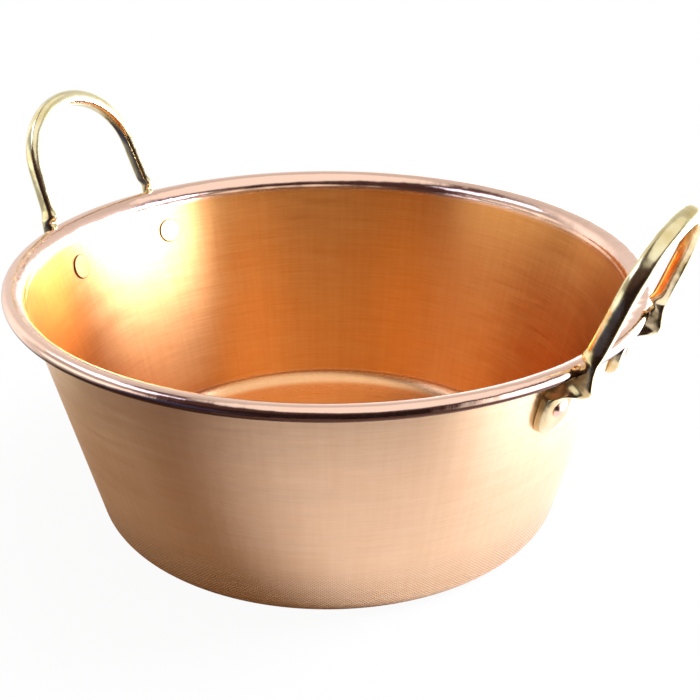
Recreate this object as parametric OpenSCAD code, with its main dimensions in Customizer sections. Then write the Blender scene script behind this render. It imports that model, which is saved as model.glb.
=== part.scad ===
// Copper jam pan: a wide spun bowl with a wired rim and two riveted cast handles.
// Origin: middle of the base's underside. +Z is up and the handles stand on the X axis.

/* [Bowl] */
// Diameter over the rolled rim
rim_d = 380; // [320:1:460]
// Height from the table to the top of the rim
bowl_h = 152; // [130:1:190]
// Diameter of the flat part of the base
base_flat_d = 265.2; // [220:0.1:280]
// Outside radius of the corner between base and wall
corner_r = 12.7; // [8:0.1:18]
// Thickness of the copper sheet
sheet_t = 1.2; // [0.8:0.1:2]

/* [Rim] */
// Diameter of the steel wire inside the rolled rim
wire_d = 5.8; // [5:0.1:6.6]
// Clearance between the wire and the copper rolled round it
wire_gap = 0.1; // [0.05:0.05:0.3]
// Radius of the upper bend, where the wall turns out into the roll
flare_r = 9; // [8.8:0.1:12]
// How far the copper is rolled round the wire, in degrees
curl_turn = 262; // [230:1:268]

/* [Handles] */
// Distance between the middles of a handle's two legs, at the rim
leg_spacing = 91; // [70:1:110]
// Height of the middle of the grip above the middle of the rolled rim
grip_rise = 73; // [60:1:95]
// Outward lean of the handle, in degrees
lean = 20; // [10:1:26]
// Outward splay of the legs towards the rim, in degrees
splay = 4; // [2:1:8]
// Distance from the outside of the rim to the middle of a leg, level with the roll
leg_stand_off = 1.6; // [1:0.1:4]
// Width of the bar at the top of the grip, seen from the front
grip_w = 10.2; // [7:0.1:12]
// Width of a leg where it meets the rim
leg_w = 6.2; // [6:0.1:11]
// Thickness of the bar, seen from the side
bar_t = 10.4; // [8:0.1:13]
// How far the toe at the end of a leg reaches in over the rim
toe_reach = 1.8; // [0.5:0.1:4]
// Height of the toe's tip above the top of the roll
toe_lift = 5; // [3:0.1:7]
// How far the knuckle at the end of a leg stands out from the rim
knuckle_out = 7.6; // [6:0.1:11]
// Distance from the middle of the rolled rim down to the knuckle's underside
knuckle_drop = 13.6; // [11:0.1:16]
// Radius of the knuckle's lower corner
knuckle_r = 5; // [2:0.1:6]

/* [Feet] */
// Width of the foot that lies on the wall
foot_w = 21; // [16:1:28]
// Thickness of the foot
foot_t = 6.6; // [4:0.1:8]
// Thickness of the foot at its tip
foot_tip_t = 3.6; // [2:0.1:5]
// Distance from the middle of the rolled rim down to the foot's tip
foot_drop = 41; // [36:1:50]
// Distance between the middles of a handle's two feet
foot_spacing = 86; // [66:1:108]
// Clearance between the casting and the copper it is bedded on
seat_gap = 0.15; // [0.05:0.05:0.4]

/* [Rivets] */
// Diameter of a rivet's shank
shank_d = 7; // [5:0.1:8]
// Clearance of a shank in its hole, on the diameter
shank_gap = 0.2; // [0.1:0.05:0.4]
// Diameter of the flat head inside the bowl
inner_head_d = 16; // [12:0.5:18]
// Thickness of the flat head inside the bowl
inner_head_t = 0.8; // [0.6:0.1:2]
// Diameter of the domed head on the foot
outer_head_d = 10.5; // [9:0.5:14]
// Height of the domed head on the foot
outer_head_h = 2.2; // [1.2:0.1:4]
// Distance from the middle of the rolled rim down to a rivet
rivet_drop = 22.5; // [20:0.5:30]

/* [Hidden] */

$fn = 180;
copper = "#c87f5a";
brass = "#c9a24a";
steel = "#9a9c9e";

// Rolled rim: the wire, the copper round it and the bend that leads into it
bead_r = wire_d / 2 + wire_gap + sheet_t;
bead_ring_r = rim_d / 2 - bead_r;
bead_z = bowl_h - bead_r;
flare_z = bowl_h - flare_r;

// The wall's outside is the common tangent of the corner bend and the rim's bend
corner_ring_r = base_flat_d / 2;
wall_run = bead_ring_r - corner_ring_r;
wall_rise = flare_z - corner_r;
wall_bends = corner_r + flare_r - sheet_t;
wall_angle = acos(wall_bends / norm([wall_run, wall_rise])) - atan2(wall_rise, wall_run);
wall_low = [corner_ring_r + corner_r * cos(wall_angle), corner_r * (1 - sin(wall_angle))];
wall_high = [bead_ring_r - (flare_r - sheet_t) * cos(wall_angle),
             flare_z + (flare_r - sheet_t) * sin(wall_angle)];
arc_step = 6;

// Radius of the wall's outside at a height
function wall_r(z) = wall_low[0] + (z - wall_low[1]) * tan(wall_angle);
// How far along X the rim's outside lies at a distance y to the side
function rim_x(y) = sqrt(pow(rim_d / 2, 2) - y * y);

// Handle: an arch of one radius on two splayed legs, in a plane that leans out.
// Heights of the handle count from the middle of the rolled rim.
leg_y = leg_spacing / 2;
foot_y = foot_spacing / 2;
leg_x = rim_x(leg_y) + leg_stand_off;
top_rise = grip_rise / cos(lean);
arch_r = (leg_y * cos(splay) - top_rise * sin(splay)) / (1 - sin(splay));
arch_rise = top_rise - arch_r;
leg_low_rise = 12.5;
arch_steps = 22;
leg_steps = 3;

// Cross-section of the casting: flat towards the bowl, crowned on the outside
section_points = 16;
flat_side = 2.6;
bar_crown = 2.5;
foot_crown = 4.5;

// The foot and its rivet
rivet_z = bead_z - rivet_drop;
rivet_seat = foot_t * cos(wall_angle);
seat_margin = 0.6;
foot_turn = asin(foot_y / wall_r(rivet_z));
foot_half_w = foot_w / 2;
bed_depth = 3;
tip_turns = [84, 66, 45, 22, 0];
foot_flat = 0.6;

// Knuckle: how far each station is on the way from the foot to the leg, how far its bed has
// come to the toe, and how far its width has narrowed
knuckle_ways = [0.1, 0.3, 0.5, 0.6, 0.7, 0.8, 0.9];
bed_ways = [-0.12, 0, 0.35, 0.5, 0.65, 0.85, 1];
narrow_ways = [0.1, 0.5, 0.9, 1, 1, 1, 1];
toe_flare = 0.3;
toe_half_w = leg_w / 2 + toe_flare;
notch = [1, 0.8];
toe_slope = 3.7;
heel = [0.3, 2.6];
instep = [3.6, 0.4];
knuckle_bow = 75;

// A station of the casting is [inner point, outer point, half width as a vector, crown]
function bar_half_w(rise) = (leg_w + (grip_w - leg_w) * rise / top_rise) / 2;
function in_plane(y, rise) = [leg_x + rise * sin(lean), y, rise * cos(lean)];
function bar_station(y, rise, a) =
    let (middle = in_plane(y, rise), out = [cos(lean), 0, -sin(lean)] * bar_t / 2)
    [middle - out, middle + out,
     bar_half_w(rise) * [sin(a) * sin(lean), cos(a), sin(a) * cos(lean)], bar_crown];

// Arch from the back leg, over the grip, to the front leg
function arch_stations() = [
    for (i = [0 : arch_steps])
        let (a = splay + (180 - 2 * splay) * i / arch_steps)
        bar_station(arch_r * cos(a), arch_rise + arch_r * sin(a), a)];

// Straight part of the back leg, from the bottom up to the arch
function leg_stations() =
    let (high_rise = arch_rise + arch_r * sin(splay))
    [for (i = [0 : leg_steps - 1])
        let (rise = leg_low_rise + (high_rise - leg_low_rise) * i / leg_steps)
        bar_station(arch_r * cos(splay) + (high_rise - rise) * tan(splay), rise, splay)];

// A station below the leg, given by its radii and heights in the plane at an azimuth
function low_station(turn, twist, inner, outer, half_w, crown) = [
    [inner[0] * cos(turn), inner[0] * sin(turn), inner[1]],
    [outer[0] * cos(turn), outer[0] * sin(turn), outer[1]],
    half_w * [-sin(twist), cos(twist), 0], crown];

// Foot: a pad bedded on the wall, with a round tip
function foot_station(z, half_w, t) =
    low_station(foot_turn, foot_turn,
                [wall_r(bead_z + z) - bed_depth, z], [wall_r(bead_z + z) + t, z],
                half_w, foot_crown);
function foot_stations() = concat(
    [for (a = tip_turns)
        foot_station(-foot_drop + foot_half_w * (1 - sin(a)), foot_half_w * cos(a),
                     between(foot_t, foot_tip_t, pow(sin(a), 2)))],
    [foot_station(-foot_drop + foot_half_w * (1 + foot_flat), foot_half_w, foot_t)]);

// Knuckle: the casting turns out from the foot, hugs the roll and ends in a toe above it
rim_r = rim_d / 2;
leg_turn = atan2(leg_y, leg_x);
corner_at = [rim_r + knuckle_out - knuckle_r, knuckle_r - knuckle_drop];
function corner_point(a) = corner_at + knuckle_r * [cos(a), sin(a)];
function between(from, to, share) = from + (to - from) * share;
function knuckle_station(share, inner, outer, half_w) =
    low_station(between(foot_turn, leg_turn, share), between(foot_turn, 0, share),
                inner, outer, half_w, between(foot_crown, bar_crown, share));
function knuckle_side(z) = [rim_r + knuckle_out + pow(z + bead_r, 2) / knuckle_bow, z];
function knuckle_stations() =
    let (under = wall_r(bead_z - knuckle_drop),
         bed = [under - bed_depth, -knuckle_drop],
         hollow = [rim_r, bead_r] + notch,
         toe = [rim_r - toe_reach, bead_r + toe_lift],
         outer = [[under + foot_t, -knuckle_drop] + [heel[0], -heel[1]],
                  [rim_r, -knuckle_drop] - instep,
                  corner_point(-90), corner_point(-45), corner_point(0),
                  knuckle_side(-bead_r), knuckle_side(0)],
         low = [for (i = [0 : len(outer) - 1])
             knuckle_station(knuckle_ways[i], between(bed, hollow, bed_ways[i]), outer[i],
                             between(foot_half_w, toe_half_w, narrow_ways[i]))])
    concat(low, [knuckle_station(1, toe, knuckle_side(bead_r + toe_lift - toe_slope), toe_half_w)]);

// The other side's stations mirror these and run the other way
function mirrored(point) = [point[0], -point[1], point[2]];
function other_side(stations) = [
    for (i = [len(stations) - 1 : -1 : 0])
        let (s = stations[i])
        [mirrored(s[0]), mirrored(s[1]), mirrored(s[2]), s[3]]];

function section_point(station, a) =
    let (power = 2 / (sin(a) < 0 ? flat_side : station[3]),
         across = sign(cos(a)) * pow(abs(cos(a)), power),
         outward = (1 + sign(sin(a)) * pow(abs(sin(a)), power)) / 2)
    between(station[0], station[1], outward) + across * station[2];

// A closed skin over stations, capped at both ends
module loft(stations) {
    count = len(stations);
    points = [for (s = stations, j = [0 : section_points - 1])
        section_point(s, 360 * (j + 0.5) / section_points)];
    skin = [for (i = [0 : count - 2], j = [0 : section_points - 1])
        let (a = i * section_points + j,
             b = i * section_points + (j + 1) % section_points)
        each [[a, b, b + section_points], [a, b + section_points, a + section_points]]];
    first = [for (j = [section_points - 1 : -1 : 0]) j];
    last = [for (j = [0 : section_points - 1]) (count - 1) * section_points + j];
    polyhedron(points, concat(skin, [first, last]));
}

// Points along an arc, without its first point where another arc has just ended there
function arc(centre, r, from, to, first = 0) =
    let (steps = ceil(abs(to - from) / arc_step))
    [for (i = [first : steps]) let (a = from + (to - from) * i / steps) centre + r * [cos(a), sin(a)]];

// Section of the spun bowl, out along the underside and round the roll, back along the inside
module bowl_section() {
    corner = [corner_ring_r, corner_r];
    flare = [bead_ring_r, flare_z];
    bead = [bead_ring_r, bead_z];
    polygon(concat(
        [[0, 0]],
        arc(corner, corner_r, -90, -wall_angle),
        arc(flare, flare_r - sheet_t, 180 - wall_angle, 90),
        arc(bead, bead_r - sheet_t, 90, 90 - curl_turn, 1),
        arc(bead, bead_r, 90 - curl_turn, 90),
        arc(flare, flare_r, 90, 180 - wall_angle, 1),
        arc(corner, corner_r - sheet_t, -wall_angle, -90),
        [[0, sheet_t]]));
}

// Everything that the bowl fills or closes off, grown by the bedding clearance
module bowl_envelope() {
    low = -bowl_h;
    rotate_extrude()
        union() {
            polygon([[0, low], [wall_r(low) + seat_gap, low],
                     wall_high + [seat_gap, 0], [bead_ring_r, wall_high[1]],
                     [bead_ring_r, bead_z + bead_r + seat_gap], [0, bead_z + bead_r + seat_gap]]);
            translate([bead_ring_r, bead_z]) circle(bead_r + seat_gap);
        }
}

// Moves a rivet drawn along +X onto its place: side is +1 for the back one, -1 for the front
module at_rivet(side) {
    rotate([0, 0, side * foot_turn])
        translate([wall_r(rivet_z), 0, rivet_z])
            rotate([0, 90 + wall_angle, 0])
                children();
}

module pan_body() {
    color(copper)
        difference() {
            rotate_extrude() bowl_section();
            for (turn = [0, 180], side = [-1, 1])
                rotate([0, 0, turn]) at_rivet(side)
                    translate([0, 0, -sheet_t * 4])
                        cylinder(h = sheet_t * 8, d = shank_d + shank_gap, $fn = 48);
        }
}

module rim_wire() {
    color(steel)
        rotate_extrude() translate([bead_ring_r, bead_z]) circle(d = wire_d);
}

module handle() {
    color(brass)
        difference() {
            translate([0, 0, bead_z])
                loft(let (low = concat(foot_stations(), knuckle_stations(), leg_stations()))
                    concat(low, arch_stations(), other_side(low)));
            bowl_envelope();
            for (side = [-1, 1])
                at_rivet(side) {
                    translate([0, 0, -foot_t])
                        cylinder(h = foot_t * 4, d = shank_d + shank_gap, $fn = 48);
                    translate([0, 0, rivet_seat])
                        cylinder(h = foot_t, d = outer_head_d + seat_margin, $fn = 48);
                }
        }
}

// Rivet: a wide flat head inside the bowl, the shank, and a low dome on the foot
module rivet(side) {
    head_bow = inner_head_d * inner_head_d / (8 * wall_r(rivet_z));
    seat = rivet_seat + seat_gap;
    dome_r = (pow(outer_head_d / 2, 2) + pow(outer_head_h, 2)) / (2 * outer_head_h);
    head_z = -sheet_t - head_bow - seat_gap - inner_head_t;
    shank_low = head_z + inner_head_t / 2;
    shank_high = seat + outer_head_h / 2;
    color(copper)
        at_rivet(side) {
            translate([0, 0, head_z]) cylinder(h = inner_head_t, d = inner_head_d, $fn = 96);
            translate([0, 0, shank_low])
                cylinder(h = shank_high - shank_low, d = shank_d, $fn = 96);
            intersection() {
                translate([0, 0, seat + outer_head_h - dome_r]) sphere(dome_r, $fn = 96);
                translate([0, 0, seat]) cylinder(h = outer_head_h * 2, d = outer_head_d, $fn = 96);
            }
        }
}

module left_side() {
    rotate([0, 0, 180]) children();
}
module left_handle() left_side() handle();
module right_handle() handle();
module left_handle_front_rivet() left_side() rivet(1);
module left_handle_back_rivet() left_side() rivet(-1);
module right_handle_front_rivet() rivet(-1);
module right_handle_back_rivet() rivet(1);

pan_body();
rim_wire();
left_handle();
right_handle();
left_handle_front_rivet();
left_handle_back_rivet();
right_handle_front_rivet();
right_handle_back_rivet();
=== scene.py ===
# Copper jam pan: the finish of the spun bowl, its cast handles and its rivets.
# Metres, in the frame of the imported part: +Z is up and the handles stand on the X axis.
import math

import bpy
import numpy as np
from mathutils import Matrix, Vector, noise


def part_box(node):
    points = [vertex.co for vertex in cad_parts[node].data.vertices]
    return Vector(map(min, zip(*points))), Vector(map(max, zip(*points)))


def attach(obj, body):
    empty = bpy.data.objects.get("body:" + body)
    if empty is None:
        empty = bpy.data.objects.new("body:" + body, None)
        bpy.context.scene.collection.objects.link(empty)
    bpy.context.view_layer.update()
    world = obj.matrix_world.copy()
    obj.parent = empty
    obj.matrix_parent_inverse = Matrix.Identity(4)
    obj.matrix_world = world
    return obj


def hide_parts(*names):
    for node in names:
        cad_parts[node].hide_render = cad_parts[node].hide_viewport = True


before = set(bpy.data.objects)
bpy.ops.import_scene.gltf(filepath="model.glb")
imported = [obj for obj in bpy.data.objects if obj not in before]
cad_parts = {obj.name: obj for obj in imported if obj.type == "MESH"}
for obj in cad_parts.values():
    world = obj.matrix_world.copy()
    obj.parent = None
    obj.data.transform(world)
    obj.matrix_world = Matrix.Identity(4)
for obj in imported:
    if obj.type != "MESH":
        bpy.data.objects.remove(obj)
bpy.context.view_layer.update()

# Sizes of the bowl, from the frame where it gives them
pan_low, pan_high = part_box("pan_body")
wire_low, wire_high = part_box("rim_wire")
RIM_R = (pan_high.y - pan_low.y) / 2
BOWL_H = pan_high.z
SHEET_T = 0.0012
WIRE_R = (wire_high.z - wire_low.z) / 2
WIRE_GAP = 0.0001
CORNER_RING_R = 0.1326
CORNER_R = 0.0127
FLARE_R = 0.009
CURL_TURN = math.radians(262)

BEAD_R = WIRE_R + WIRE_GAP + SHEET_T
BEAD_RING_R = RIM_R - BEAD_R
BEAD_Z = BOWL_H - BEAD_R
FLARE_Z = BOWL_H - FLARE_R
WALL_RUN = BEAD_RING_R - CORNER_RING_R
WALL_RISE = FLARE_Z - CORNER_R
WALL_LEAN = (math.acos((CORNER_R + FLARE_R - SHEET_T) / math.hypot(WALL_RUN, WALL_RISE))
             - math.atan2(WALL_RISE, WALL_RUN))
WALL_LOW_R = CORNER_RING_R + CORNER_R * math.cos(WALL_LEAN)
WALL_LOW_Z = CORNER_R * (1 - math.sin(WALL_LEAN))

# Sizes of the handles and the rivets
LEG_SPACING = 0.091
GRIP_RISE = 0.073
LEAN = math.radians(20)
SPLAY = math.radians(4)
LEG_STAND_OFF = 0.0016
LEG_LOW_RISE = 0.0125
GRIP_W = 0.0102
LEG_W = 0.0062
BAR_T = 0.0104
TOE_REACH = 0.0018
TOE_LIFT = 0.005
TOE_SLOPE = 0.0037
TOE_HALF_W = LEG_W / 2 + 0.0003
KNUCKLE_OUT = 0.0076
KNUCKLE_DROP = 0.0136
KNUCKLE_R = 0.005
KNUCKLE_BOW = 0.075
# Small steps in the casting's outline, as (across, up or down)
NOTCH = (0.001, 0.0008)
HEEL = (0.0003, 0.0026)
INSTEP = (0.0036, 0.0004)
FOOT_W = 0.021
FOOT_T = 0.0066
FOOT_TIP_T = 0.0036
FOOT_FLAT = 0.6
FOOT_DROP = 0.041
FOOT_SPACING = 0.086
SEAT_GAP = 0.00015
BED_DEPTH = 0.003

INNER_HEAD_D = 0.016
INNER_HEAD_T = 0.0008
OUTER_HEAD_D = 0.0105
OUTER_HEAD_H = 0.0022
SEAT_MARGIN = 0.0006
SHANK_D = 0.007
RIVET_DROP = 0.0225
# Rounding of the inner head's edge and lip under the dome, as shares of each head's height,
# and how far round the dome starts above its lip
HEAD_ROUNDING, DOME_LIP, DOME_START = 0.45, 0.12, 0.06

LEG_Y = LEG_SPACING / 2
FOOT_Y = FOOT_SPACING / 2
LEG_X = math.sqrt(RIM_R ** 2 - LEG_Y ** 2) + LEG_STAND_OFF
TOP_RISE = GRIP_RISE / math.cos(LEAN)
ARCH_R = (LEG_Y * math.cos(SPLAY) - TOP_RISE * math.sin(SPLAY)) / (1 - math.sin(SPLAY))
ARCH_RISE = TOP_RISE - ARCH_R
RIVET_Z = BEAD_Z - RIVET_DROP


def wall_r(z):
    """Radius of the wall's outside at a height."""
    return WALL_LOW_R + (z - WALL_LOW_Z) * math.tan(WALL_LEAN)


FOOT_TURN = math.asin(FOOT_Y / wall_r(RIVET_Z))


# Helpers for node trees

def new_tree(name, kind, inputs=(), outputs=()):
    """An empty node group with named sockets, its input node and its output node."""
    tree = bpy.data.node_groups.new(name, kind)
    for label, socket, value in inputs:
        made = tree.interface.new_socket(label, in_out="INPUT", socket_type=socket)
        if value is not None:
            made.default_value = value
    for label, socket in outputs:
        tree.interface.new_socket(label, in_out="OUTPUT", socket_type=socket)
    return tree, tree.nodes.new("NodeGroupInput"), tree.nodes.new("NodeGroupOutput")


def add(tree, kind, inputs=None, **settings):
    """A node with its settings made and its inputs given a value or linked to a socket."""
    made = tree.nodes.new(kind)
    for name, value in settings.items():
        setattr(made, name, value)
    for socket, value in (inputs or {}).items():
        if isinstance(value, bpy.types.NodeSocket):
            tree.links.new(value, made.inputs[socket])
        else:
            made.inputs[socket].default_value = value
    return made


def calc(tree, operation, *values):
    """A Math node's output."""
    return add(tree, "ShaderNodeMath", dict(enumerate(values)), operation=operation).outputs[0]


def chain(tree, operation, *values):
    """Several values joined by one operation, from the left."""
    joined = values[0]
    for value in values[1:]:
        joined = calc(tree, operation, joined, value)
    return joined


def ease(tree, value, low, high, to_low=0.0, to_high=1.0):
    """A smooth step of a value between two marks."""
    return add(tree, "ShaderNodeMapRange",
               {"Value": value, "From Min": low, "From Max": high,
                "To Min": to_low, "To Max": to_high},
               interpolation_type="SMOOTHSTEP").outputs[0]


def blend(tree, share, low, high):
    """A mix of two values by a share."""
    return add(tree, "ShaderNodeMix", {0: share, 2: low, 3: high}).outputs[0]


def blend_colour(tree, share, low, high):
    """A mix of two colours by a share."""
    return add(tree, "ShaderNodeMix", {0: share, 6: low, 7: high}, data_type="RGBA").outputs[2]


def grain(tree, vector, scale, detail=3.0, roughness=0.5):
    """Noise from 0 to 1 at a scale."""
    return add(tree, "ShaderNodeTexNoise",
               {"Vector": vector, "Scale": scale, "Detail": detail, "Roughness": roughness}
               ).outputs["Fac"]


def round_the_axis(tree):
    """The direction from the Z axis, the distance from it and the height of a point."""
    place = add(tree, "ShaderNodeTexCoord").outputs["Object"]
    axes = add(tree, "ShaderNodeSeparateXYZ", {0: place}).outputs
    flat = add(tree, "ShaderNodeCombineXYZ", {0: axes[0], 1: axes[1], 2: 0.0}).outputs[0]
    radius = add(tree, "ShaderNodeVectorMath", {0: flat}, operation="LENGTH").outputs["Value"]
    around = add(tree, "ShaderNodeVectorMath", {0: flat}, operation="NORMALIZE").outputs[0]
    return around, radius, axes[2]


# The finishes

# Colours of satin copper outside and inside, each from its dark streaks to its light ones
ROSE_COPPER = ((0.86, 0.58, 0.33, 1), (0.97, 0.70, 0.45, 1))
GOLD_COPPER = ((0.85, 0.38, 0.10, 1), (0.96, 0.51, 0.16, 1))
BRIGHT_COPPER = (0.95, 0.64, 0.50, 1)
# The brown of painted shade: under the roll, along the foot, in the inside corner and round the
# rivets' inner heads
PAINTED_SHADE_BROWN = (0.09, 0.035, 0.018, 1)
CHATTER_SHADE = 0.8
# Roughness of the satin and of the polish, and what uneven work adds to each
SATIN_OUTSIDE, SATIN_INSIDE, SATIN_BANDS = 0.24, 0.25, 0.16
BUFFED, BUFFED_HOLLOWS = 0.07, 0.10
# Relief of the lathe lines outside and inside, the chatter marks and the buffed waves,
# as shares of the bump's distance
LINES_OUTSIDE, LINES_INSIDE, CHATTER_RELIEF, WAVE_RELIEF = 0.12, 0.30, -0.24, 2.5
COPPER_BUMP, METAL_BUMP = 0.4, 0.5
SCRATCHES_PER_HOLLOW = 14


def lathe_lines_group():
    """Fine lines that a lathe tool leaves round the Z axis, with slow changes along them,
    and faint streaks across them from the wiping."""
    tree, given, out = new_tree(
        "lathe lines", "ShaderNodeTree",
        [("Lines Per Metre", "NodeSocketFloat", 900.0), ("Change Round", "NodeSocketFloat", 3.0),
         ("Streaks Round", "NodeSocketFloat", 40.0)],
        [("Fine", "NodeSocketFloat"), ("Broad", "NodeSocketFloat"), ("Streaks", "NodeSocketFloat"),
         ("Height", "NodeSocketFloat")])
    around, radius, height = round_the_axis(tree)
    along = calc(tree, "ADD", radius, height)

    def banded(turn, pitch, detail):
        """Noise that changes "pitch" times a metre along the section, and faster round it for
        a higher "turn"."""
        wrapped = add(tree, "ShaderNodeVectorMath", {0: around, "Scale": turn}, operation="SCALE")
        lift = add(tree, "ShaderNodeCombineXYZ", {2: calc(tree, "MULTIPLY", along, pitch)})
        where = add(tree, "ShaderNodeVectorMath", {0: wrapped.outputs[0], 1: lift.outputs[0]})
        return grain(tree, where.outputs[0], 1.0, detail, 0.65)

    lines, change = given.outputs["Lines Per Metre"], given.outputs["Change Round"]
    fine = banded(change, lines, 4.0)
    broad = banded(calc(tree, "MULTIPLY", change, 0.6), calc(tree, "MULTIPLY", lines, 0.16), 4.0)
    streaks = banded(given.outputs["Streaks Round"], 14.0, 3.0)
    both = calc(tree, "ADD", calc(tree, "MULTIPLY", fine, 0.6), calc(tree, "MULTIPLY", broad, 0.4))
    for label, value in (("Fine", fine), ("Broad", broad), ("Streaks", streaks), ("Height", both)):
        tree.links.new(value, out.inputs[label])
    return tree


def tool_chatter_group():
    """The even rows of small marks that a chattering tool leaves near the foot of the wall."""
    tree, given, out = new_tree(
        "tool chatter", "ShaderNodeTree",
        [("Marks Round", "NodeSocketFloat", 440.0), ("Rows Per Metre", "NodeSocketFloat", 520.0),
         ("Fades Out At", "NodeSocketFloat", 0.045)],
        [("Marks", "NodeSocketFloat"), ("Mask", "NodeSocketFloat")])
    around, radius, height = round_the_axis(tree)
    axes = add(tree, "ShaderNodeSeparateXYZ", {0: around}).outputs
    turn = calc(tree, "ARCTAN2", axes[1], axes[0])
    across = calc(tree, "SINE", calc(tree, "MULTIPLY", turn, given.outputs["Marks Round"]))
    rows = calc(tree, "MULTIPLY", calc(tree, "ADD", height, calc(tree, "MULTIPLY", radius, 0.5)),
                calc(tree, "MULTIPLY", given.outputs["Rows Per Metre"], math.tau))
    marks = calc(tree, "MULTIPLY", across, calc(tree, "SINE", rows))
    fade = ease(tree, height, 0.006, given.outputs["Fades Out At"], 1.0, 0.0)
    tree.links.new(marks, out.inputs["Marks"])
    tree.links.new(fade, out.inputs["Mask"])
    return tree


def hand_polish_group():
    """The uneven surface that buffing leaves: soft hollows, with fine scratches in them."""
    tree, given, out = new_tree(
        "hand polish", "ShaderNodeTree",
        [("Hollows Per Metre", "NodeSocketFloat", 60.0),
         ("Scratches Per Metre", "NodeSocketFloat", 900.0)],
        [("Hollows", "NodeSocketFloat"), ("Scratches", "NodeSocketFloat"),
         ("Height", "NodeSocketFloat")])
    place = add(tree, "ShaderNodeTexCoord").outputs["Object"]
    hollows = grain(tree, place, given.outputs["Hollows Per Metre"], 2.0)
    stretched = add(tree, "ShaderNodeVectorMath", {0: place, 1: (1.0, 0.35, 0.12)},
                    operation="MULTIPLY").outputs[0]
    scratches = grain(tree, stretched, given.outputs["Scratches Per Metre"], 4.0, 0.7)
    height = calc(tree, "ADD", hollows, calc(tree, "MULTIPLY", scratches, 0.06))
    for label, value in (("Hollows", hollows), ("Scratches", scratches), ("Height", height)):
        tree.links.new(value, out.inputs[label])
    return tree


def new_finish(name, anisotropic=0.0, turn=0.0):
    """A metal material with its shader; what varies over the surface is linked later."""
    made = bpy.data.materials.new(name)
    made.use_nodes = True
    shader = made.node_tree.nodes["Principled BSDF"]
    shader.inputs["Metallic"].default_value = 1.0
    shader.inputs["Anisotropic"].default_value = anisotropic
    shader.inputs["Anisotropic Rotation"].default_value = turn
    return made, made.node_tree, shader


def copper_finish(name, lines_group, chatter_group, polish_group):
    """Satin copper with lathe lines and chatter marks. The piece's own marks say where it is
    polished (in the inside corner and on the base partly a painted highlight), which side is its
    inside and where painted shade darkens it."""
    made, tree, shader = new_finish(name, anisotropic=0.85, turn=0.25)
    polish = add(tree, "ShaderNodeAttribute", attribute_name="polish").outputs["Fac"]
    inside = add(tree, "ShaderNodeAttribute", attribute_name="inside").outputs["Fac"]
    painted_shade = add(tree, "ShaderNodeAttribute", attribute_name="painted_shade").outputs["Fac"]
    lines = add(tree, "ShaderNodeGroup",
                {"Lines Per Metre": 1100.0, "Change Round": 5.0, "Streaks Round": 45.0},
                node_tree=lines_group).outputs
    chatter = add(tree, "ShaderNodeGroup", {"Marks Round": 440.0, "Rows Per Metre": 480.0},
                  node_tree=chatter_group).outputs
    buffed = add(tree, "ShaderNodeGroup",
                 {"Hollows Per Metre": 45.0, "Scratches Per Metre": 700.0},
                 node_tree=polish_group).outputs
    tone = calc(tree, "ADD", calc(tree, "MULTIPLY", lines["Height"], 0.75),
                calc(tree, "MULTIPLY", lines["Streaks"], 0.25))
    tone = ease(tree, tone, 0.3, 0.7)
    satin = blend_colour(tree, inside, blend_colour(tree, tone, *ROSE_COPPER),
                         blend_colour(tree, tone, *GOLD_COPPER))
    # Polish brings the colour towards bright copper; in the inside corner and on the base this
    # lighter colour is partly painted highlight
    clean = blend_colour(tree, polish, satin, BRIGHT_COPPER)
    marked = chain(tree, "MULTIPLY", chatter["Marks"], chatter["Mask"],
                   calc(tree, "SUBTRACT", 1.0, inside))
    # Painted shade, and the chatter marks, darken the colour towards brown
    shaded = calc(tree, "MAXIMUM", painted_shade, calc(tree, "MULTIPLY", marked, CHATTER_SHADE))
    tree.links.new(blend_colour(tree, shaded, clean, PAINTED_SHADE_BROWN), shader.inputs["Base Color"])

    satin_rough = calc(tree, "ADD", blend(tree, inside, SATIN_OUTSIDE, SATIN_INSIDE),
                       calc(tree, "MULTIPLY", lines["Broad"], SATIN_BANDS))
    bright_rough = calc(tree, "ADD", BUFFED,
                        calc(tree, "MULTIPLY", buffed["Hollows"], BUFFED_HOLLOWS))
    tree.links.new(blend(tree, polish, satin_rough, bright_rough), shader.inputs["Roughness"])

    depth = blend(tree, inside, LINES_OUTSIDE, LINES_INSIDE)
    satin_height = calc(tree, "ADD", calc(tree, "MULTIPLY", lines["Height"], depth),
                        calc(tree, "MULTIPLY", marked, CHATTER_RELIEF))
    waves = calc(tree, "MULTIPLY", buffed["Height"], WAVE_RELIEF)
    height = blend(tree, ease(tree, polish, 0.5, 1.0), satin_height, waves)
    bump = add(tree, "ShaderNodeBump",
               {"Height": height, "Strength": COPPER_BUMP, "Distance": 0.0008})
    tree.links.new(bump.outputs[0], shader.inputs["Normal"])
    return made


def polished_finish(name, polish_group, dull, bright, rough, hollows, depth):
    """Metal without lathe lines: the brass of the castings and the steel of the wire."""
    made, tree, shader = new_finish(name)
    buffed = add(tree, "ShaderNodeGroup",
                 {"Hollows Per Metre": hollows,
                  "Scratches Per Metre": hollows * SCRATCHES_PER_HOLLOW},
                 node_tree=polish_group).outputs
    tree.links.new(blend_colour(tree, ease(tree, buffed["Hollows"], 0.3, 0.65), dull, bright),
                   shader.inputs["Base Color"])
    tree.links.new(calc(tree, "ADD", rough, calc(tree, "MULTIPLY", buffed["Scratches"], rough)),
                   shader.inputs["Roughness"])
    bump = add(tree, "ShaderNodeBump",
               {"Height": buffed["Height"], "Strength": METAL_BUMP, "Distance": depth})
    tree.links.new(bump.outputs[0], shader.inputs["Normal"])
    return made


# Meshes

def arc_points(centre, r, start, end, steps, first=0):
    """Points of a section along an arc, as (radius, height)."""
    turns = [start + (end - start) * i / steps for i in range(first, steps + 1)]
    return [(centre[0] + r * math.cos(a), centre[1] + r * math.sin(a)) for a in turns]


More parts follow.
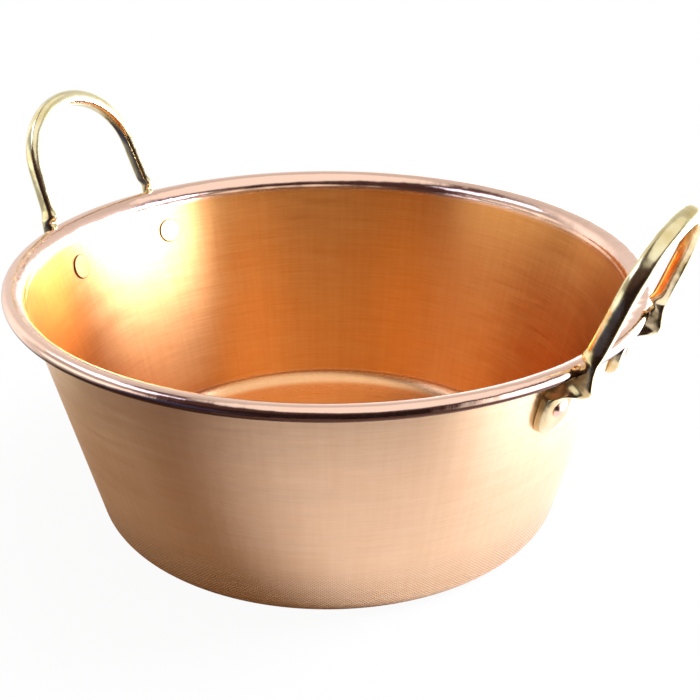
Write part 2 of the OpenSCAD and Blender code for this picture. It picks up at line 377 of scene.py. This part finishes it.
def line_points(start, end, steps):
    """Points between two section points, without the two themselves."""
    return [tuple(s + (e - s) * i / steps for s, e in zip(start, end)) for i in range(1, steps)]


# What each point of a section is marked with, for the copper's finish
MARKS = ("polish", "inside", "painted_shade")
# Polish of the base and of the inside corner; the lighter colour it gives them is partly painted
# highlight
BASE_POLISH_AND_HIGHLIGHT, CORNER_POLISH_AND_HIGHLIGHT = 0.2, 0.3
# Painted shade: a line along the foot of the wall, one in the inside corner and a ring round each
# rivet's inner head
FOOT_PAINTED_SHADOW, CORNER_PAINTED_SHADE, HEAD_PAINTED_SHADE = 0.8, 0.5, 0.9
# The wall's polish starts and is full at these depths below the top of the rim
POLISH_STARTS, POLISH_FULL = 0.0115, 0.0065
# Shade on the outside of the roll at its middle, and its rise over one radius down
ROLL_SHADE, ROLL_SHADE_RISE = 0.1, 5
BOWL_SIDES, RIVET_SIDES = 256, 48
TOUCHING = 1e-6


def clamped(value):
    """The value, held between 0 and 1."""
    return min(max(value, 0.0), 1.0)


def wall_polish(z):
    """How polished the inside of the wall is at a height."""
    share = clamped((z - BOWL_H + POLISH_STARTS) / (POLISH_STARTS - POLISH_FULL))
    return share * share * (3 - 2 * share)


def roll_shade(r, z):
    """Painted shade under the roll, on its outer side."""
    if r <= BEAD_RING_R:
        return 0.0
    return clamped(ROLL_SHADE_RISE * (BEAD_Z - z) / BEAD_R + ROLL_SHADE)


def bowl_section():
    """The spun sheet's outline: out along the underside, round the roll and back inside.
    Each point is (radius, height, polish, inside, painted shade)."""
    corner, flare, bead = (CORNER_RING_R, CORNER_R), (BEAD_RING_R, FLARE_Z), (BEAD_RING_R, BEAD_Z)
    quarter, half = math.pi / 2, math.pi
    corner_out = arc_points(corner, CORNER_R, -quarter, -WALL_LEAN, 14)
    flare_out = arc_points(flare, FLARE_R - SHEET_T, half - WALL_LEAN, quarter, 12)
    curl_in = arc_points(bead, BEAD_R - SHEET_T, quarter, quarter - CURL_TURN, 40, 1)
    curl_out = arc_points(bead, BEAD_R, quarter - CURL_TURN, quarter, 48)
    flare_in = arc_points(flare, FLARE_R, quarter, half - WALL_LEAN, 14, 1)
    corner_in = arc_points(corner, CORNER_R - SHEET_T, -WALL_LEAN, -quarter, 12)
    outside = ([(0.0, 0.0)] + line_points((0.0, 0.0), corner_out[0], 16) + corner_out
               + line_points(corner_out[-1], flare_out[0], 28) + flare_out)
    roll = curl_in + curl_out + flare_in
    wall_in = line_points(flare_in[-1], corner_in[0], 28)
    # One more ring close to the corner keeps the corner's painted shade narrow
    wall_in.append(tuple(c + (w - c) * 0.25 for w, c in zip(wall_in[-1], corner_in[0])))
    base_in = line_points(corner_in[-1], (0.0, SHEET_T), 16) + [(0.0, SHEET_T)]
    # A painted shadow along the foot of the wall, where the bowl stands on the table
    foot_top = CORNER_R * 0.2
    marked = [(r, z, 0.0, 0.0, FOOT_PAINTED_SHADOW if 0 < z < foot_top else 0.0) for r, z in outside]
    marked += [(r, z, 1.0, 1.0, roll_shade(r, z)) for r, z in roll]
    marked += [(r, z, wall_polish(z), 1.0, 0.0) for r, z in wall_in]
    # The inside corner: a painted shade line near its top, and a lighter colour that is partly
    # painted highlight
    marked += [(r, z, CORNER_POLISH_AND_HIGHLIGHT, 1.0, CORNER_PAINTED_SHADE if i == 1 else 0.0)
               for i, (r, z) in enumerate(corner_in)]
    # The base: partly polish, partly painted highlight
    return marked + [(r, z, BASE_POLISH_AND_HIGHLIGHT, 1.0, 0.0) for r, z in base_in]


def spin_tree():
    """Turns a section, a row of points in the XZ plane, once round the Z axis."""
    tree, given, out = new_tree(
        "spin round Z", "GeometryNodeTree",
        [("Geometry", "NodeSocketGeometry", None), ("Segments", "NodeSocketInt", 256),
         ("Material", "NodeSocketMaterial", None)],
        [("Geometry", "NodeSocketGeometry")])
    section = given.outputs["Geometry"]
    count = add(tree, "GeometryNodeAttributeDomainSize", {0: section}).outputs["Point Count"]
    rows = calc(tree, "ADD", given.outputs["Segments"], 1.0)
    grid = add(tree, "GeometryNodeMeshGrid",
               {"Size X": 1.0, "Size Y": 1.0, "Vertices X": count, "Vertices Y": rows})
    position = add(tree, "GeometryNodeInputPosition").outputs[0]
    place = add(tree, "ShaderNodeSeparateXYZ", {0: position})
    step = calc(tree, "MULTIPLY", calc(tree, "ADD", place.outputs[0], 0.5),
                calc(tree, "SUBTRACT", count, 1.0))
    index = add(tree, "FunctionNodeFloatToInt", {0: step}, rounding_mode="ROUND").outputs[0]
    turn = calc(tree, "MULTIPLY", calc(tree, "ADD", place.outputs[1], 0.5), math.tau)
    grid_mesh = grid.outputs["Mesh"]
    for name in MARKS:
        value = add(tree, "GeometryNodeInputNamedAttribute", {"Name": name}, data_type="FLOAT")
        taken = add(tree, "GeometryNodeSampleIndex",
                    {"Geometry": section, "Value": value.outputs[0], "Index": index},
                    data_type="FLOAT")
        grid_mesh = add(tree, "GeometryNodeStoreNamedAttribute",
                        {"Geometry": grid_mesh, "Name": name, "Value": taken.outputs[0]},
                        data_type="FLOAT", domain="POINT").outputs[0]
    point = add(tree, "GeometryNodeSampleIndex",
                {"Geometry": section, "Value": position, "Index": index},
                data_type="FLOAT_VECTOR")
    turned = add(tree, "ShaderNodeVectorRotate",
                 {"Vector": point.outputs[0], "Axis": (0.0, 0.0, 1.0), "Angle": turn},
                 rotation_type="AXIS_ANGLE")
    moved = add(tree, "GeometryNodeSetPosition",
                {"Geometry": grid_mesh, "Position": turned.outputs[0]})
    closed = add(tree, "GeometryNodeMergeByDistance",
                 {"Geometry": moved.outputs[0], "Distance": TOUCHING})
    real = add(tree, "GeometryNodeRealizeInstances", {0: closed.outputs[0]})
    dressed = add(tree, "GeometryNodeSetMaterial",
                  {"Geometry": real.outputs[0], "Material": given.outputs["Material"]})
    tree.links.new(dressed.outputs[0], out.inputs[0])
    return tree


def grown(name, start, tree, **values):
    """Runs a Geometry Nodes tree on an object and keeps the result as a plain mesh."""
    modifier = start.modifiers.new("grow", "NODES")
    modifier.node_group = tree
    names = {item.name: item.identifier for item in tree.interface.items_tree
             if item.item_type == "SOCKET" and item.in_out == "INPUT"}
    for label, value in values.items():
        modifier[names[label.replace("_", " ")]] = value
    seen = start.evaluated_get(bpy.context.evaluated_depsgraph_get())
    mesh = bpy.data.meshes.new_from_object(seen)
    mesh.name = name
    start.modifiers.remove(modifier)
    bpy.data.objects.remove(start)
    return placed(name, mesh)


def placed(name, mesh):
    """An object at the origin that shows a mesh, shaded smooth."""
    mesh.validate()
    made = bpy.data.objects.new(name, mesh)
    bpy.context.scene.collection.objects.link(made)
    mesh.shade_smooth()
    return made


def row_object(name, points):
    """A row of joined points that carries the section's marks."""
    mesh = bpy.data.meshes.new(name)
    mesh.from_pydata([(r, 0.0, z) for r, z, *_ in points],
                     [(i, i + 1) for i in range(len(points) - 1)], [])
    for column, label in enumerate(MARKS, 2):
        marks = mesh.attributes.new(label, "FLOAT", "POINT")
        marks.data.foreach_set("value", [p[column] for p in points])
    made = bpy.data.objects.new(name, mesh)
    bpy.context.scene.collection.objects.link(made)
    return made


# The cast handle

def between(start, end, share):
    """The value or the point at a share of the way from start to end."""
    return np.asarray(start) + (np.asarray(end) - np.asarray(start)) * share


# Powers of the section's outline, outside and inside: 2 is an ellipse, and more is squarer
BAR_CROWN, FOOT_CROWN, INNER_SIDE = 2.5, 4.5, 2.6
SECTION_POINTS = 20
SUPPORT_SHARE = 0.34
FILING_SCALE, FILING_DEPTH, FILING_SEED = 75.0, 0.00016, 7


def bar_station(y, rise, a):
    """A section of the leaning bar: its inner and outer points, half its width as a vector,
    and its crown. The angle is the bar's turn over the arch."""
    middle = np.array([LEG_X + rise * math.sin(LEAN), y, rise * math.cos(LEAN)])
    out = np.array([math.cos(LEAN), 0, -math.sin(LEAN)]) * BAR_T / 2
    half_w = (LEG_W + (GRIP_W - LEG_W) * rise / TOP_RISE) / 2
    across = half_w * np.array([math.sin(a) * math.sin(LEAN), math.cos(a),
                                math.sin(a) * math.cos(LEAN)])
    return middle - out, middle + out, across, BAR_CROWN


def low_station(turn, twist, inner, outer, half_w, crown):
    """A section below the bar, from two points given as (radius, height)."""
    inner3 = np.array([inner[0] * math.cos(turn), inner[0] * math.sin(turn), inner[1]])
    outer3 = np.array([outer[0] * math.cos(turn), outer[0] * math.sin(turn), outer[1]])
    return inner3, outer3, half_w * np.array([-math.sin(twist), math.cos(twist), 0]), crown


def foot_station(z, half_w, thickness):
    """A section of the foot, sunk in the wall so that it can be bedded on it later."""
    r = wall_r(BEAD_Z + z)
    return low_station(FOOT_TURN, FOOT_TURN, (r - BED_DEPTH, z), (r + thickness, z), half_w,
                       FOOT_CROWN)


def foot_stations():
    """A pad bedded on the wall, thin at its round tip."""
    half_w = FOOT_W / 2
    made = [foot_station(-FOOT_DROP + half_w * (1 - math.sin(a)), half_w * math.cos(a),
                         between(FOOT_T, FOOT_TIP_T, math.sin(a) ** 2))
            for a in map(math.radians, (86, 72, 56, 40, 20, 0))]
    made.append(foot_station(-FOOT_DROP + half_w * (1 + FOOT_FLAT), half_w, FOOT_T))
    return made


def knuckle_side(z):
    """A point on the knuckle's slightly bowed outside."""
    return RIM_R + KNUCKLE_OUT + (z + BEAD_R) ** 2 / KNUCKLE_BOW, z


def knuckle_stations():
    """The casting turns out from the foot, hugs the roll and ends in a toe above it."""
    leg_turn = math.atan2(LEG_Y, LEG_X)
    corner = np.array([RIM_R + KNUCKLE_OUT - KNUCKLE_R, KNUCKLE_R - KNUCKLE_DROP])

    def corner_point(degrees):
        a = math.radians(degrees)
        return corner + KNUCKLE_R * np.array([math.cos(a), math.sin(a)])

    def station(share, inner, outer, half_w):
        return low_station(between(FOOT_TURN, leg_turn, share), between(FOOT_TURN, 0, share),
                           inner, outer, half_w, between(FOOT_CROWN, BAR_CROWN, share))

    under = wall_r(BEAD_Z - KNUCKLE_DROP)
    bed = (under - BED_DEPTH, -KNUCKLE_DROP)
    hollow = (RIM_R + NOTCH[0], BEAD_R + NOTCH[1])
    toe = (RIM_R - TOE_REACH, BEAD_R + TOE_LIFT)
    # Each row: how far along from foot to leg, how far the inside has come from the bed to the
    # hollow under the toe, how far the width has narrowed, and the point on the outside
    rows = [(0.1, -0.12, 0.1, (under + FOOT_T + HEEL[0], -KNUCKLE_DROP - HEEL[1])),
            (0.3, 0, 0.5, (RIM_R - INSTEP[0], -KNUCKLE_DROP - INSTEP[1])),
            (0.5, 0.35, 0.9, corner_point(-90)), (0.6, 0.5, 1, corner_point(-45)),
            (0.7, 0.65, 1, corner_point(0)), (0.8, 0.85, 1, knuckle_side(-BEAD_R)),
            (0.9, 1, 1, knuckle_side(0))]
    made = [station(share, between(bed, hollow, bedded), outer,
                    between(FOOT_W / 2, TOE_HALF_W, narrowed))
            for share, bedded, narrowed, outer in rows]
    made.append(station(1, toe, knuckle_side(BEAD_R + TOE_LIFT - TOE_SLOPE), TOE_HALF_W))
    return made


def with_support(stations):
    """The stations with two more between each pair, so that subdivision keeps their corners."""
    made = [stations[0]]
    for a, b in zip(stations, stations[1:]):
        made += [tuple(between(p, q, share) for p, q in zip(a, b))
                 for share in (SUPPORT_SHARE, 1 - SUPPORT_SHARE)]
        made.append(b)
    return made


def handle_stations():
    """Stations from the back foot, over the grip, to the front foot."""
    high_rise = ARCH_RISE + ARCH_R * math.sin(SPLAY)
    leg_steps, arch_steps = 5, 36

    def leg_station(share):
        rise = LEG_LOW_RISE + (high_rise - LEG_LOW_RISE) * share
        return bar_station(ARCH_R * math.cos(SPLAY) + (high_rise - rise) * math.tan(SPLAY), rise,
                           SPLAY)

    low = with_support(foot_stations() + knuckle_stations() + [leg_station(0)])
    low += [leg_station(i / leg_steps) for i in range(1, leg_steps)]
    turns = [SPLAY + (math.pi - 2 * SPLAY) * i / arch_steps for i in range(arch_steps + 1)]
    arch = [bar_station(ARCH_R * math.cos(a), ARCH_RISE + ARCH_R * math.sin(a), a) for a in turns]
    flip = np.array([1, -1, 1])
    other = [(s[0] * flip, s[1] * flip, s[2] * flip, s[3]) for s in reversed(low)]
    return low + arch + other


def section_ring(station):
    """The points round a station, with the station's own crown on its outer side."""
    inner, outer, across, crown = station
    ring = []
    for j in range(SECTION_POINTS):
        a = math.tau * (j + 0.5) / SECTION_POINTS
        power = 2 / (INNER_SIDE if math.sin(a) < 0 else crown)
        side = math.copysign(abs(math.cos(a)) ** power, math.cos(a))
        outward = (1 + math.copysign(abs(math.sin(a)) ** power, math.sin(a))) / 2
        ring.append(between(inner, outer, outward) + side * across + (0, 0, BEAD_Z))
    return ring


def clear_of_bowl(point):
    """The point, pushed out to the wall or the rolled rim if it lies inside them."""
    r, z = math.hypot(point.x, point.y), point.z
    rim_dist = math.hypot(r - BEAD_RING_R, z - BEAD_Z)
    rim_clear = BEAD_R + SEAT_GAP
    wanted = r
    if z < BEAD_Z - BEAD_R / 2:
        wanted = max(wanted, wall_r(z) + SEAT_GAP)
    if abs(z - BEAD_Z) < rim_clear and (rim_dist < rim_clear or r < BEAD_RING_R):
        wanted = max(wanted, BEAD_RING_R + math.sqrt(rim_clear ** 2 - (z - BEAD_Z) ** 2))
    return point if wanted == r else Vector((point.x * wanted / r, point.y * wanted / r, z))


def rivet_stand(side):
    """The place of a rivet: its own Z axis points out through the wall."""
    return (Matrix.Rotation(side * FOOT_TURN, 4, "Z")
            @ Matrix.Translation((wall_r(RIVET_Z), 0, RIVET_Z))
            @ Matrix.Rotation(math.pi / 2 + WALL_LEAN, 4, "Y"))


RIVET_SEAT = FOOT_T * math.cos(WALL_LEAN)


def faced_for_rivet(point, stands):
    """The point, lowered to the flat seat if it lies under a rivet's domed head."""
    for stand, back in stands:
        local = back @ point
        under_head = math.hypot(local.x, local.y) < (OUTER_HEAD_D + SEAT_MARGIN) / 2
        if under_head and local.z > RIVET_SEAT:
            return stand @ Vector((local.x, local.y, RIVET_SEAT))
    return point


def handle_mesh(name, turn):
    """The casting as a loft, smoothed by subdivision and bedded on the bowl."""
    rings = [section_ring(s) for s in handle_stations()]
    count = SECTION_POINTS
    points = [tuple(p) for ring in rings for p in ring]
    faces = [(i * count + j, i * count + (j + 1) % count,
              (i + 1) * count + (j + 1) % count, (i + 1) * count + j)
             for i in range(len(rings) - 1) for j in range(count)]
    faces.append(tuple(reversed(range(count))))
    faces.append(tuple((len(rings) - 1) * count + j for j in range(count)))
    rough = bpy.data.meshes.new(name + "_rough")
    rough.from_pydata(points, [], faces)
    holder = bpy.data.objects.new(name + "_rough", rough)
    bpy.context.scene.collection.objects.link(holder)
    smooth = holder.modifiers.new("smooth", "SUBSURF")
    smooth.levels = smooth.render_levels = 2
    seen = holder.evaluated_get(bpy.context.evaluated_depsgraph_get())
    mesh = bpy.data.meshes.new_from_object(seen)
    mesh.name = name
    bpy.data.objects.remove(holder)
    stands = [(rivet_stand(side), rivet_stand(side).inverted()) for side in (-1, 1)]
    noise.seed_set(FILING_SEED)
    for vertex in mesh.vertices:
        filed = vertex.co + noise.noise_vector(vertex.co * FILING_SCALE) * FILING_DEPTH
        vertex.co = clear_of_bowl(faced_for_rivet(filed, stands))
    mesh.transform(Matrix.Rotation(turn, 4, "Z"))
    return placed(name, mesh)


# The rivets

def rivet_section():
    """A rivet's outline from the middle of its inner head to the top of its dome.
    Heights count outwards from the wall's outside."""
    head_bow = INNER_HEAD_D ** 2 / (8 * wall_r(RIVET_Z))
    seat = RIVET_SEAT + SEAT_GAP
    under = -SHEET_T - head_bow - SEAT_GAP
    dome_r = ((OUTER_HEAD_D / 2) ** 2 + OUTER_HEAD_H ** 2) / (2 * OUTER_HEAD_H)
    edge_r = INNER_HEAD_T * HEAD_ROUNDING
    face_r, face_z = INNER_HEAD_D / 2 - edge_r, under - INNER_HEAD_T
    ring_r = face_r - edge_r
    points = [(0.0, face_z)] + line_points((0.0, face_z), (ring_r, face_z), 6) + [(ring_r, face_z)]
    points += arc_points((face_r, face_z + edge_r), edge_r, -math.pi / 2, 0, 6)
    points += [(INNER_HEAD_D / 2, under), (SHANK_D / 2, under), (SHANK_D / 2, seat)]
    lip = OUTER_HEAD_H * DOME_LIP
    points += [(OUTER_HEAD_D / 2, seat), (OUTER_HEAD_D / 2, seat + lip)]
    middle = seat + OUTER_HEAD_H - dome_r
    low = math.asin((seat + lip - middle) / dome_r)
    points += arc_points((0.0, middle), dome_r, low + DOME_START, math.pi / 2, 12)
    # Painted shade round the edge of each inner head, where it meets the wall
    return [(max(r, 0.0), z, float(z > 0), float(z <= 0),
             HEAD_PAINTED_SHADE if z < 0 and r >= face_r else 0.0) for r, z in points]


DENTS_PER_METRE, DENT_SIZE = 260.0, 0.0002


def set_tree():
    """Sets a rivet in each of the four feet, with the small unevenness of hand work."""
    tree, given, out = new_tree(
        "set in the feet", "GeometryNodeTree",
        [("Geometry", "NodeSocketGeometry", None), ("Foot Turn", "NodeSocketFloat", 0.2),
         ("Wall Radius", "NodeSocketFloat", 0.18), ("Height", "NodeSocketFloat", 0.12),
         ("Wall Lean", "NodeSocketFloat", 0.2), ("Unevenness", "NodeSocketFloat", 0.0001),
         ("Material", "NodeSocketMaterial", None)],
        [("Geometry", "NodeSocketGeometry")])
    index = add(tree, "GeometryNodeInputIndex").outputs[0]
    half = calc(tree, "FLOOR", calc(tree, "DIVIDE", index, 2.0))
    odd = calc(tree, "MODULO", index, 2.0)
    side = calc(tree, "SUBTRACT", calc(tree, "MULTIPLY", odd, 2.0), 1.0)
    turn = calc(tree, "ADD", calc(tree, "MULTIPLY", half, math.pi),
                calc(tree, "MULTIPLY", side, given.outputs["Foot Turn"]))
    radius = given.outputs["Wall Radius"]
    place = add(tree, "ShaderNodeCombineXYZ",
                {0: calc(tree, "MULTIPLY", radius, calc(tree, "COSINE", turn)),
                 1: calc(tree, "MULTIPLY", radius, calc(tree, "SINE", turn)),
                 2: given.outputs["Height"]})
    feet = add(tree, "GeometryNodePoints", {"Count": 4, "Position": place.outputs[0]})
    lean = calc(tree, "ADD", given.outputs["Wall Lean"], math.pi / 2)
    stand = add(tree, "ShaderNodeCombineXYZ", {1: lean, 2: turn})
    rivets = add(tree, "GeometryNodeInstanceOnPoints",
                 {"Points": feet.outputs[0], "Instance": given.outputs["Geometry"],
                  "Rotation": stand.outputs[0]})
    real = add(tree, "GeometryNodeRealizeInstances", {0: rivets.outputs[0]})
    dents = add(tree, "ShaderNodeTexNoise", {"Scale": DENTS_PER_METRE, "Detail": 1.0})
    centred = add(tree, "ShaderNodeVectorMath",
                  {0: dents.outputs["Color"], 1: (0.5, 0.5, 0.5)}, operation="SUBTRACT")
    shift = add(tree, "ShaderNodeVectorMath",
                {0: centred.outputs[0], "Scale": given.outputs["Unevenness"]}, operation="SCALE")
    hammered = add(tree, "GeometryNodeSetPosition",
                   {"Geometry": real.outputs[0], "Offset": shift.outputs[0]})
    dressed = add(tree, "GeometryNodeSetMaterial",
                  {"Geometry": hammered.outputs[0], "Material": given.outputs["Material"]})
    tree.links.new(dressed.outputs[0], out.inputs[0])
    return tree


def rivet_object(name, copper):
    """Four rivets turned from one section, each in its place."""
    one = grown("one_rivet", row_object("rivet_row", rivet_section()), spin_tree(),
                Segments=RIVET_SIDES, Material=copper)
    return grown(name, one, set_tree(), Foot_Turn=FOOT_TURN, Wall_Radius=wall_r(RIVET_Z),
                 Height=RIVET_Z, Wall_Lean=WALL_LEAN, Unevenness=DENT_SIZE, Material=copper)


# The room

CAMERA_AT = Vector((0.38218, -0.54723, 0.40610))
CAMERA_RIGHT = Vector((0.82989, 0.55791, 0.00367))
CAMERA_UP = Vector((-0.23970, 0.35060, 0.90533))
# Focal length and sensor width in millimetres
CAMERA_LENS, SENSOR_W = 61.18, 36.0


def set_camera():
    """A camera in front of the pan, to its right and above its rim."""
    data = bpy.data.cameras.new("camera")
    data.lens, data.sensor_width = CAMERA_LENS, SENSOR_W
    data.clip_start, data.clip_end = 0.01, 50.0
    camera = bpy.data.objects.new("camera", data)
    right = CAMERA_RIGHT.normalized()
    back = right.cross(CAMERA_UP).normalized()
    up = back.cross(right)
    turn = Matrix((right, up, back)).transposed().to_4x4()
    camera.matrix_world = Matrix.Translation(CAMERA_AT) @ turn
    bpy.context.scene.collection.objects.link(camera)
    bpy.context.scene.camera = camera


WHITE = (1, 1, 1, 1)
FLOOR_R, FLOOR_SIDES, FLOOR_DROP = 0.55, 96, 0.0003
# How white the camera sees the table top near the pan, and between which distances it turns
# wholly white
NEAR_WHITE, WHITE_FROM, WHITE_AT = 0.95, 0.15, 0.32
# Where the metal starts to see past the table top, and how far on it sees nothing of it
TABLE_R, TABLE_FADE = 0.27, 0.07


def lay_floor():
    """A pale table top that takes the pan's shadow. To the camera it is nearly white, and wholly
    white away from the pan. To the metal it is plain paint that ends a little past the pan."""
    mesh = bpy.data.meshes.new("floor")
    turns = [math.tau * i / FLOOR_SIDES for i in range(FLOOR_SIDES)]
    mesh.from_pydata([(FLOOR_R * math.cos(a), FLOOR_R * math.sin(a), 0.0) for a in turns],
                     [], [tuple(range(FLOOR_SIDES))])
    floor = bpy.data.objects.new("floor", mesh)
    floor.location.z = -FLOOR_DROP
    bpy.context.scene.collection.objects.link(floor)
    made = bpy.data.materials.new("floor")
    made.use_nodes = True
    tree = made.node_tree
    tree.nodes.clear()
    place = add(tree, "ShaderNodeTexCoord").outputs["Object"]
    far = add(tree, "ShaderNodeVectorMath", {0: place}, operation="LENGTH").outputs["Value"]
    light_path = add(tree, "ShaderNodeLightPath").outputs
    white_share = calc(tree, "MULTIPLY", light_path["Is Camera Ray"],
                       ease(tree, far, WHITE_FROM, WHITE_AT, NEAR_WHITE, 1.0))
    past_edge = calc(tree, "MULTIPLY", light_path["Is Glossy Ray"],
                     ease(tree, far, TABLE_R, TABLE_R + TABLE_FADE))
    white = add(tree, "ShaderNodeEmission", {"Color": WHITE, "Strength": 1.0})
    paint = add(tree, "ShaderNodeBsdfDiffuse", {"Color": (0.80, 0.80, 0.80, 1)})
    clear = add(tree, "ShaderNodeBsdfTransparent")
    top = add(tree, "ShaderNodeMixShader", {0: white_share, 1: paint.outputs[0],
                                            2: white.outputs[0]})
    mixed = add(tree, "ShaderNodeMixShader", {0: past_edge, 1: top.outputs[0],
                                              2: clear.outputs[0]})
    out = add(tree, "ShaderNodeOutputMaterial")
    tree.links.new(mixed.outputs[0], out.inputs["Surface"])
    mesh.materials.append(made)


# Light and colour that the room gives to what is not shiny
ROOM_LIGHT, ROOM_COLOUR = 0.34, (1.0, 0.50, 0.21, 1)
# Colours of the room's dark side, and of the cool shade low on the left of it
DARK_SIDE, COOL_SHADE = (0.95, 0.5, 0.5, 1), (0.55, 0.55, 1.15, 1)
WINDOW_COLOUR = (0.97, 1.0, 1.2, 1)


def set_world():
    """White to the camera. To the metal it is a soft room: bright behind the pan and at the low
    window, and dark on the side that the pan is seen from."""
    world = bpy.data.worlds.new("room")
    world.use_nodes = True
    bpy.context.scene.world = world
    tree = world.node_tree
    tree.nodes.clear()
    way = add(tree, "ShaderNodeTexCoord").outputs["Generated"]
    height = add(tree, "ShaderNodeSeparateXYZ", {0: way}).outputs[2]

    def facing(turn, rise=0.0):
        """How nearly a way points to a place in the room, given in degrees; 1 is right at it."""
        turn, rise = math.radians(turn), math.radians(rise)
        toward = (math.cos(turn) * math.cos(rise), math.sin(turn) * math.cos(rise), math.sin(rise))
        return add(tree, "ShaderNodeVectorMath", {0: way, 1: toward},
                   operation="DOT_PRODUCT").outputs["Value"]

    back_wall = calc(tree, "MULTIPLY", ease(tree, facing(110), 0.0, 0.35),
                     ease(tree, height, 0.30, 0.80, 0.8, 0.6))
    ceiling = ease(tree, facing(-10, 70), 0.68, 0.82)
    window = chain(tree, "MULTIPLY", ease(tree, facing(70), 0.0, 0.78),
                   ease(tree, height, 0.32, 0.12, 0.0, 4.4), ease(tree, facing(20), -0.35, 0.1))
    left_strip = chain(tree, "MULTIPLY", ease(tree, facing(-138), 0.86, 0.95),
                       ease(tree, height, -0.24, -0.14), ease(tree, height, 0.26, 0.12))
    left_glow = ease(tree, facing(-158, 10), 0.62, 0.94, 0.0, 0.42)
    bright = chain(tree, "ADD", calc(tree, "MAXIMUM", back_wall, ceiling), window, left_strip,
                   left_glow)
    cool = ease(tree, facing(-125, -31), 0.70, 0.93)
    strength = chain(tree, "ADD", bright, ease(tree, height, 0.05, 0.35, 0.02, 0.07),
                     calc(tree, "MULTIPLY", cool, 0.065))
    dark = blend_colour(tree, cool, DARK_SIDE, COOL_SHADE)
    light = blend_colour(tree, ease(tree, bright, 1.0, 3.0), WHITE, WINDOW_COLOUR)
    colour = blend_colour(tree, ease(tree, bright, 0.0, 0.3), dark, light)

    light_path = add(tree, "ShaderNodeLightPath").outputs
    dull = light_path["Is Diffuse Ray"]
    soft = add(tree, "ShaderNodeBackground",
               {"Color": blend_colour(tree, dull, colour, ROOM_COLOUR),
                "Strength": blend(tree, dull, strength, ROOM_LIGHT)})
    white = add(tree, "ShaderNodeBackground", {"Color": WHITE, "Strength": 1.0})
    mixed = add(tree, "ShaderNodeMixShader",
                {0: light_path["Is Camera Ray"], 1: soft.outputs[0], 2: white.outputs[0]})
    out = add(tree, "ShaderNodeOutputWorld")
    tree.links.new(mixed.outputs[0], out.inputs["Surface"])


def soft_lamp(name, place, aim, size, power, on_floor=True, on_metal=True, tint=(1, 1, 1),
              spread=180):
    """An area lamp that the camera doesn't see. The floor takes its light, or the metal mirrors
    it, or both."""
    data = bpy.data.lights.new(name, "AREA")
    data.shape = "RECTANGLE"
    data.size, data.size_y = size
    data.energy, data.color, data.spread = power, tint, math.radians(spread)
    lamp = bpy.data.objects.new(name, data)
    lamp.location = place
    lamp.rotation_mode = "QUATERNION"
    lamp.rotation_quaternion = (Vector(aim) - Vector(place)).to_track_quat("-Z", "Y")
    lamp.visible_camera, lamp.visible_glossy, lamp.visible_diffuse = False, on_metal, on_floor
    bpy.context.scene.collection.objects.link(lamp)


# Assembly

lathe_lines, tool_chatter = lathe_lines_group(), tool_chatter_group()
hand_polish = hand_polish_group()
spun_copper = copper_finish("spun_copper", lathe_lines, tool_chatter, hand_polish)
rivet_copper = copper_finish("rivet_copper", lathe_lines, tool_chatter, hand_polish)
cast_brass = polished_finish("cast_brass", hand_polish, (0.72, 0.58, 0.27, 1),
                             (0.90, 0.80, 0.50, 1), 0.12, 70.0, 0.0010)
rim_steel = polished_finish("rim_steel", hand_polish, (0.35, 0.35, 0.36, 1),
                            (0.55, 0.55, 0.56, 1), 0.2, 200.0, 0.0002)

pan = grown("spun_bowl", row_object("bowl_row", bowl_section()), spin_tree(),
            Segments=BOWL_SIDES, Material=spun_copper)
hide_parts("pan_body")
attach(pan, "root")

for side_name, half_turn in (("left", math.pi), ("right", 0.0)):
    handle = handle_mesh(side_name + "_cast_handle", half_turn)
    handle.data.materials.append(cast_brass)
    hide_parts(side_name + "_handle")
    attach(handle, "root")

rivets = rivet_object("rivets", rivet_copper)
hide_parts(*[n for n in sorted(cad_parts) if n.endswith("rivet")])
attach(rivets, "root")

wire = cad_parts["rim_wire"]
wire.data.materials.clear()
wire.data.materials.append(rim_steel)

bpy.context.scene.view_settings.view_transform = "Standard"
set_camera()
lay_floor()
set_world()
soft_lamp("daylight", (1.93, 2.01, 1.80), (0, 0, 0.1), (1.35, 1.35), 204.0, on_metal=False,
          tint=(0.97, 1.0, 1.18))
soft_lamp("left_panel", (-0.80, -0.62, 1.05), (0, 0, 0.1), (1.1, 0.4), 2.6, on_floor=False,
          tint=(0.82, 1.0, 1.45))
soft_lamp("back_panel", (-0.005, 0.14, 0.168), (-0.17, 0.0, 0.135), (0.20, 0.05), 0.175,
          on_floor=False, tint=(0.9, 1.05, 1.7), spread=80)
